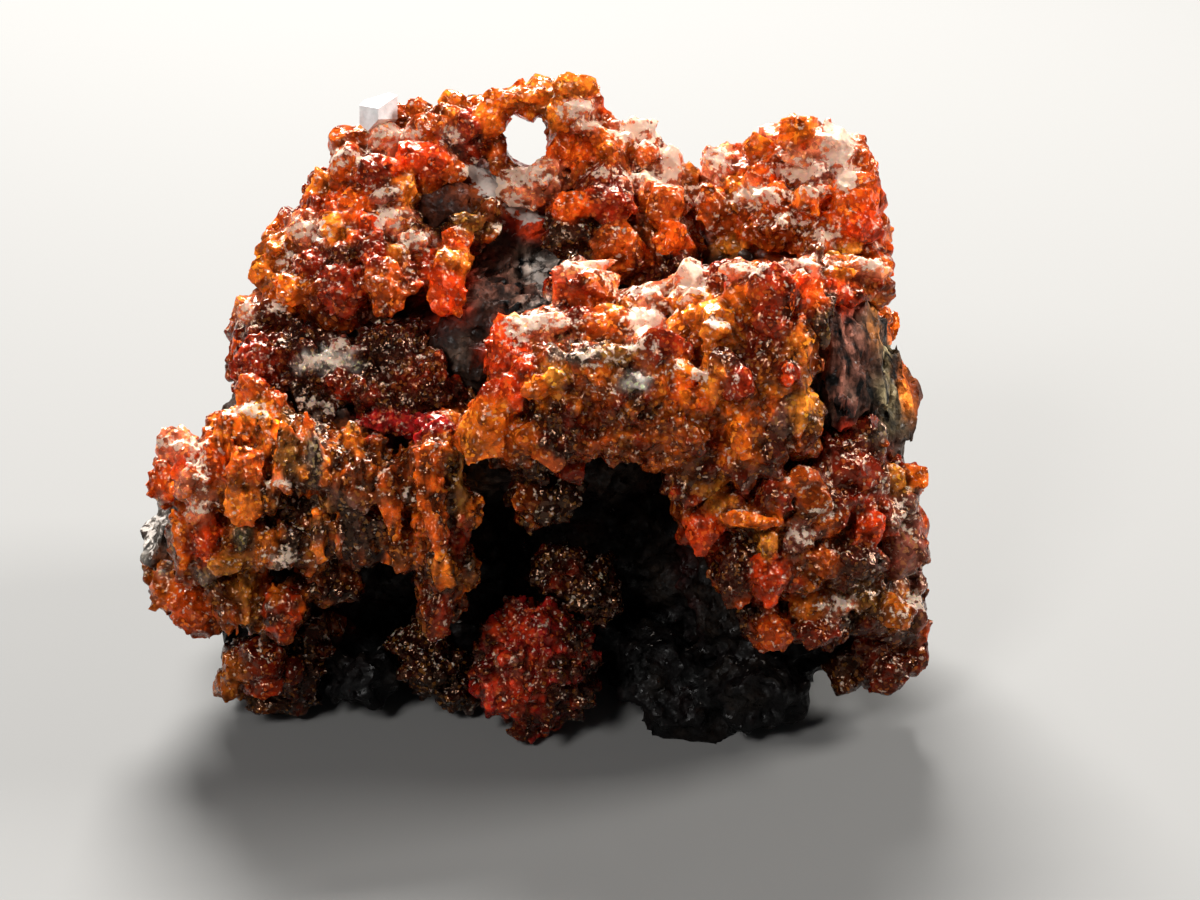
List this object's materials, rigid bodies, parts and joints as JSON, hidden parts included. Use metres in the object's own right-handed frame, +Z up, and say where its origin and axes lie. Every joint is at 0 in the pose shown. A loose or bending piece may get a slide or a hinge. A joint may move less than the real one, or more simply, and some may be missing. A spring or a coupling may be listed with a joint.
{
  "type": "zincite on matrix",
  "caption": "Cluster of glassy red, orange and amber zincite crystals grown in lobes over a dark rock matrix, resting on the rock's flat underside.",
  "frame": {"origin": "on the surface that the piece rests on, under the middle of its box", "axes": "+Z up, +X to the right as seen from the display side, -Y towards the display side"},
  "size_m": [0.0602, 0.039, 0.046],
  "materials": {
    "matrix_rock": "dark grey-brown rock, rough, with small glints",
    "white_mineral": "chalky white, dull",
    "zincite_orange": "glassy to resinous, orange to red-orange, translucent at the edges",
    "zincite_amber": "glassy, amber to orange-brown with upright striations",
    "zincite_brown": "glassy, red-brown to orange, granular with bright glints",
    "zincite_maroon": "glassy, dark maroon, covered in tiny glittering faces",
    "zincite_ruby": "glassy ruby red, drusy"
  },
  "bodies": {
    "root": {"matrix": "matrix_rock", "white_chip": "white_mineral", "zincite_ball": "zincite_ruby", "zincite_crest": "zincite_orange", "zincite_flank": "zincite_maroon", "zincite_tower": "zincite_orange", "zincite_ledge": "zincite_brown", "zincite_right_leg": "zincite_brown", "zincite_left_lobe": "zincite_amber", "zincite_left_foot": "zincite_brown", "zincite_knob_left": "zincite_maroon", "zincite_knob_right": "zincite_maroon", "zincite_back_crust": "zincite_orange", "zincite_back_corner": "zincite_orange"}
  },
  "joints": []
}
